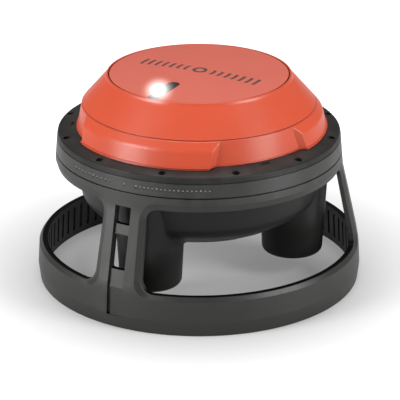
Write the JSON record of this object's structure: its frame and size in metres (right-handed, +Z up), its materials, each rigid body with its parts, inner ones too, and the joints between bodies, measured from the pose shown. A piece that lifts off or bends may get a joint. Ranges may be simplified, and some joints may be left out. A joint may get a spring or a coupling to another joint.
{
  "type": "floating position beacon",
  "caption": "Low round floating beacon with an orange domed cover, dark collar and sensor legs inside an open strap cage.",
  "frame": {"origin": "on the floor, under the middle of the round cage", "axes": "+Z up; -Y is the front, the side of the strobe window and of the front post"},
  "size_m": [0.2848, 0.2846, 0.187],
  "materials": {
    "cage_grey": "satin",
    "collar_grey": "satin",
    "hull_dark": "satin",
    "dome_orange": "satin",
    "plate_orange": "satin",
    "mark_dark": "matte",
    "mark_pale": "matte",
    "lens_smoke": "gloss",
    "led_white": "gloss",
    "circuit_board": "satin",
    "inner_plastic": "matte",
    "steel": "satin",
    "brass": "satin",
    "rubber_black": "matte",
    "ceramic_pale": "matte",
    "cell_wrap": "satin"
  },
  "bodies": {
    "beacon": {"antenna_board": "circuit_board", "antenna_mast": "inner_plastic", "ballast_ring": "steel", "band_marks": "mark_pale", "battery_cell_1": "cell_wrap", "battery_cell_2": "cell_wrap", "battery_cell_3": "cell_wrap", "battery_cell_4": "cell_wrap", "battery_clamp": "steel", "battery_tray": "inner_plastic", "bezel_ring": "collar_grey", "bezel_screws": "steel", "board_screws": "steel", "board_standoffs": "brass", "button_retainer": "cage_grey", "button_sensor": "circuit_board", "button_spring": "steel", "cage": "cage_grey", "ceramic_ring_front": "ceramic_pale", "ceramic_ring_left": "ceramic_pale", "ceramic_ring_right": "ceramic_pale", "charge_block": "inner_plastic", "charge_contacts": "brass", "charge_lead": "rubber_black", "clamp_screws": "steel", "dome_cover": "dome_orange", "dome_seal": "rubber_black", "dome_top_plate": "plate_orange", "hinge_pin": "steel", "hull": "hull_dark", "hull_collar": "collar_grey", "lead_sockets": "inner_plastic", "leg_cap_front": "inner_plastic", "leg_cap_left": "inner_plastic", "leg_cap_right": "inner_plastic", "leg_leads": "rubber_black", "leg_sleeves": "hull_dark", "main_board": "circuit_board", "mast_screws": "steel", "patch_antenna": "ceramic_pale", "radio_antenna": "rubber_black", "retaining_rings": "steel", "ring_holder_front": "inner_plastic", "ring_holder_left": "inner_plastic", "ring_holder_right": "inner_plastic", "shield_can": "steel", "strobe_board": "circuit_board", "strobe_board_screws": "steel", "strobe_lead": "rubber_black", "strobe_led": "led_white", "strobe_lens": "lens_smoke", "thread_inserts": "brass", "top_mark": "mark_dark", "tray_screws": "steel", "tray_standoffs": "brass", "vent_plug": "inner_plastic"},
    "power_button": {"power_button": "dome_orange", "button_magnet": "steel"},
    "port_cover": {"port_cover": "hull_dark", "port_seal": "rubber_black"}
  },
  "joints": [
    {"name": "button_press", "type": "slide", "parent": "beacon", "child": "power_button", "axis": [0, 0, 1], "range_m": [0, 0.0012], "stiffness_N_per_m": 800, "springref_m": -0.0015, "deforming": ["button_spring"]},
    {"name": "port_hinge", "type": "hinge", "parent": "beacon", "child": "port_cover", "pos_m": [0, 0.013, 0.063], "axis": [1, 0, 0], "range_deg": [0, 100]}
  ]
}
